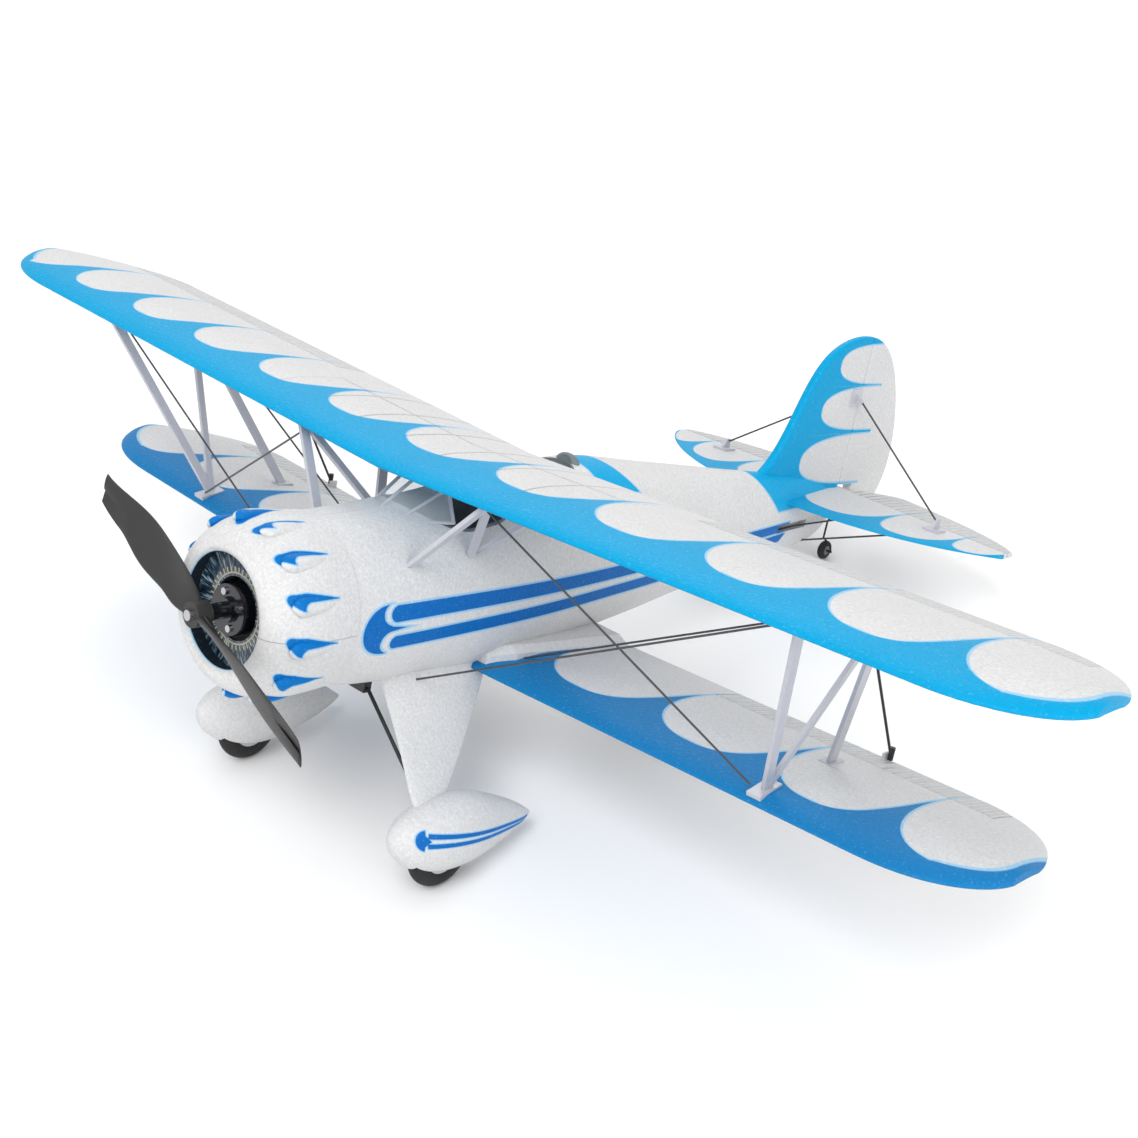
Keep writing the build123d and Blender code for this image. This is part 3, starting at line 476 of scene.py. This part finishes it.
# ------------------------------------------------------------------ other materials
def plain(name, colour, roughness, metallic=0.0, bump=0.0, scale=1.5, vary=0.15, **sockets):
    """Plastic, rubber or metal with fine grain and a little colour variation."""
    material, tree, shader = surface(name, roughness, metallic, **sockets)
    vector, _ = position(tree)
    grain = noise(tree, vector, scale, 3.0, 0.55)
    dark = tuple(c * (1 - vary) for c in colour)
    tree.links.new(mix(tree, grain, colour, dark), shader.inputs["Base Color"])
    rough = (roughness - 0.06) + grain * 0.12
    tree.links.new(rough.socket, shader.inputs["Roughness"])
    if bump:
        relief(tree, shader, grain, bump)
    return material


white_plastic = plain("white_plastic", (0.52, 0.52, 0.57), 0.33, bump=0.00008, Coat_Weight=0.2)
black_plastic = plain("black_plastic", (0.016, 0.016, 0.017), 0.42, bump=0.0001)
cockpit_black = plain("cockpit_black", (0.15, 0.18, 0.20), 0.6, bump=0.0003, scale=0.8)
carbon = plain("carbon", (0.05, 0.05, 0.055), 0.45, bump=0.0001)
steel = plain("steel", (0.55, 0.55, 0.57), 0.26, 1.0, bump=0.00003, scale=4.0)
dark_wire = plain("dark_wire", (0.03, 0.03, 0.032), 0.35, 0.6, bump=0.00005)
motor_black = plain("motor_black", (0.012, 0.013, 0.018), 0.2, 0.5, Coat_Weight=0.6)
copper = plain("copper", (0.70, 0.32, 0.14), 0.35, 1.0, bump=0.0003, scale=2.5)
rubber = plain("rubber", (0.012, 0.012, 0.012), 0.72, bump=0.0005, scale=1.6, vary=0.3)
grey_plastic = plain("grey_plastic", (0.16, 0.165, 0.17), 0.45, bump=0.0001)
film = plain("battery_film", (0.05, 0.06, 0.08), 0.25, bump=0.0001, Coat_Weight=0.4)
board_green = plain("board_green", (0.02, 0.12, 0.05), 0.35, bump=0.0002, scale=0.9, vary=0.5)
prop_black = plain("prop_black", (0.022, 0.021, 0.021), 0.46, bump=0.00012, scale=2.2)

glass, glass_tree, glass_shader = surface("glass", 0.06, Coat_Weight=0.5)
glass_vector, _ = position(glass_tree)
haze = noise(glass_tree, glass_vector, 0.08, 2.0)
tint = mix(glass_tree, haze, (0.80, 0.84, 0.86), (0.68, 0.73, 0.76))
glass_tree.links.new(tint, glass_shader.inputs["Base Color"])
glass_shader.inputs["Alpha"].default_value = 0.26


def engine_material():
    """Printed radial engine: dark cooling fins, steel highlights and a pale toothed ring."""
    material, tree, shader = surface("engine_print", 0.3, Coat_Weight=0.5)
    vector, (x, y, z) = position(tree)
    radius = (x * x + z * z).root()
    angle = x.make("ARCTAN2", z)
    rays = combine(tree, angle * 7.0, radius * 0.05, 0.0)
    fine = combine(tree, angle * 22.0, radius * 0.16, 3.0)
    broad = noise(tree, rays, 1.6, 2.0, 0.6)
    thin = noise(tree, fine, 1.4, 2.0, 0.7)
    streak = (broad * 0.75 + thin * 0.95 - 0.52).clamp()
    ramp = tree.nodes.new("ShaderNodeValToRGB")
    stops = ((0.0, (0.001, 0.001, 0.003)), (0.38, (0.002, 0.006, 0.014)), (0.62, (0.010, 0.032, 0.062)),
             (0.82, (0.07, 0.14, 0.20)), (1.0, (0.40, 0.48, 0.53)))
    while len(ramp.color_ramp.elements) < len(stops):
        ramp.color_ramp.elements.new(0.5)
    for element, (where, colour) in zip(ramp.color_ramp.elements, stops):
        element.position = where
        element.color = (*colour, 1.0)
    tree.links.new((streak * 2.0).clamp().socket, ramp.inputs[0])
    tooth = ((angle * (40 / (2 * math.pi))).make("FRACT") - 0.5).size()
    teeth = (0.15 - tooth).above(0.0, 0.05) * between(radius, 12.8, 14.8).above(0.0, 0.2)
    ring = between(radius, 12.3, 13.0).above(0.0, 0.15)
    colour = mix(tree, teeth.high(ring), ramp.outputs[0], (0.50, 0.47, 0.34))
    tree.links.new(colour, shader.inputs["Base Color"])
    relief(tree, shader, streak + teeth + ring, 0.0004)
    return material


engine_print = engine_material()

FINISH = {
    "upper_wing": upper_wing_foam,
    "upper_aileron_left": upper_aileron_foam, "upper_aileron_right": upper_aileron_foam,
    "lower_wing_left": lower_wing_foam, "lower_wing_right": lower_wing_foam,
    "lower_aileron_left": lower_aileron_foam, "lower_aileron_right": lower_aileron_foam,
    "fuselage_left": body_foam, "fuselage_right": body_foam, "battery_hatch": body_foam,
    "stabilizer": tail_foam, "elevator": elevator_foam, "fin": fin_foam, "rudder": fin_foam,
    "cowl": cowl_foam, "wheel_pants": pants_foam, "gear_legs": plain_foam, "wing_root_fairings": plain_foam,
    "cockpit_tubs": cockpit_black, "headrest": cockpit_black,
    "interplane_struts": white_plastic, "cabane_struts": white_plastic, "windscreen_frame": white_plastic,
    "tail_brace_brackets": white_plastic, "elevator_horn": white_plastic, "rudder_horn": white_plastic,
    "wheel_hub_left": white_plastic, "wheel_hub_right": white_plastic, "tail_wheel_hub": grey_plastic,
    "windscreen_panes": glass, "dummy_engine_disc": engine_print, "propeller": prop_black,
    "motor_mount": black_plastic, "gear_wire_clamp": black_plastic, "axle_collars": black_plastic,
    "aileron_servos": black_plastic,
    "aileron_link_left": black_plastic, "aileron_link_right": black_plastic,
    "flying_wires": carbon, "landing_wires": carbon, "tail_braces": carbon, "radio_tray": carbon,
    "motor_mount_screws": steel, "bell_screws": steel, "motor_shaft": steel, "prop_screw": steel,
    "gear_wire": dark_wire, "tail_wheel_leg": dark_wire, "aileron_pushrod_left": dark_wire,
    "aileron_pushrod_right": dark_wire, "elevator_pushrod": dark_wire, "rudder_pushrod": dark_wire,
    "motor_bell": motor_black, "prop_adapter": motor_black, "motor_stator": copper,
    "tyre_left": rubber, "tyre_right": rubber, "tail_tyre": rubber,
    "battery": film, "receiver_speed_control": board_green,
}
for name, node in nodes.items():
    if not node.data.materials:
        node.data.materials.append(FINISH[name])
    for spot in node.material_slots:
        spot.material = FINISH[name]


# ------------------------------------------------------------------ joint strip on the rear deck
def deck_strip():
    """Thin foam strip, flush with the rear deck, over the joint of the two fuselage halves."""
    front, back, steps, thick = 136.5, 155.5, 12, 1.2
    across = (-2.4, -1.6, -0.8, 0.0, 0.8, 1.6, 2.4)
    mesh = bmesh.new()
    rings = []
    for step in range(steps + 1):
        y = front + (back - front) * step / steps
        crown = 36.05 - 0.114 * (y - 137.0) - 0.08
        top = [(x, y, crown - 0.04 * x * x) for x in across]
        bottom = [(x, y, crown - 0.04 * x * x - thick) for x in reversed(across)]
        rings.append([mesh.verts.new(air(*point)) for point in top + bottom])
    for ring, following in zip(rings, rings[1:]):
        for k in range(len(ring)):
            m = (k + 1) % len(ring)
            mesh.faces.new((ring[k], ring[m], following[m], following[k]))
    mesh.faces.new(list(reversed(rings[0])))
    mesh.faces.new(rings[-1])
    bmesh.ops.recalc_face_normals(mesh, faces=mesh.faces)
    data = bpy.data.meshes.new("deck_joint_strip")
    mesh.to_mesh(data)
    mesh.free()
    data.materials.append(body_foam)
    strip = bpy.data.objects.new("deck_joint_strip", data)
    bpy.context.scene.collection.objects.link(strip)
    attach(strip, "airframe")


deck_strip()

# ------------------------------------------------------------------ floor, light and background
FLOOR_HALF = 6.0
floor_mesh = bpy.data.meshes.new("floor")
corners = [(-FLOOR_HALF, -FLOOR_HALF, 0), (FLOOR_HALF, -FLOOR_HALF, 0)]
corners += [(FLOOR_HALF, FLOOR_HALF, 0), (-FLOOR_HALF, FLOOR_HALF, 0)]
floor_mesh.from_pydata(corners, [], [(0, 1, 2, 3)])
floor = bpy.data.objects.new("floor", floor_mesh)
bpy.context.scene.collection.objects.link(floor)
floor_paint, floor_tree, floor_shader = surface("floor_paint", 0.6)
floor_shader.inputs["Base Color"].default_value = (0.93, 0.93, 0.93, 1)
floor_mesh.materials.append(floor_paint)


def lamp(name, place, target, size, power):
    """Soft round area light aimed at target."""
    data = bpy.data.lights.new(name, "AREA")
    data.shape = "DISK"
    data.size = size
    data.energy = power
    item = bpy.data.objects.new(name, data)
    item.location = place
    item.rotation_euler = (Vector(target) - Vector(place)).to_track_quat("-Z", "Y").to_euler()
    bpy.context.scene.collection.objects.link(item)


lamp("key", (0.6, -1.4, 1.9), (0, 0, 0.08), 1.3, 26.0)
lamp("fill", (1.7, -0.5, 0.7), (0, 0, 0.08), 1.2, 7.0)
lamp("back", (-1.2, 1.3, 1.5), (0, 0, 0.08), 1.2, 10.0)
world = bpy.data.worlds.new("white")
world.use_nodes = True
world.node_tree.nodes["Background"].inputs["Color"].default_value = (1, 1, 1, 1)
world.node_tree.nodes["Background"].inputs["Strength"].default_value = 0.85
bpy.context.scene.world = world
bpy.context.scene.view_settings.view_transform = "Standard"
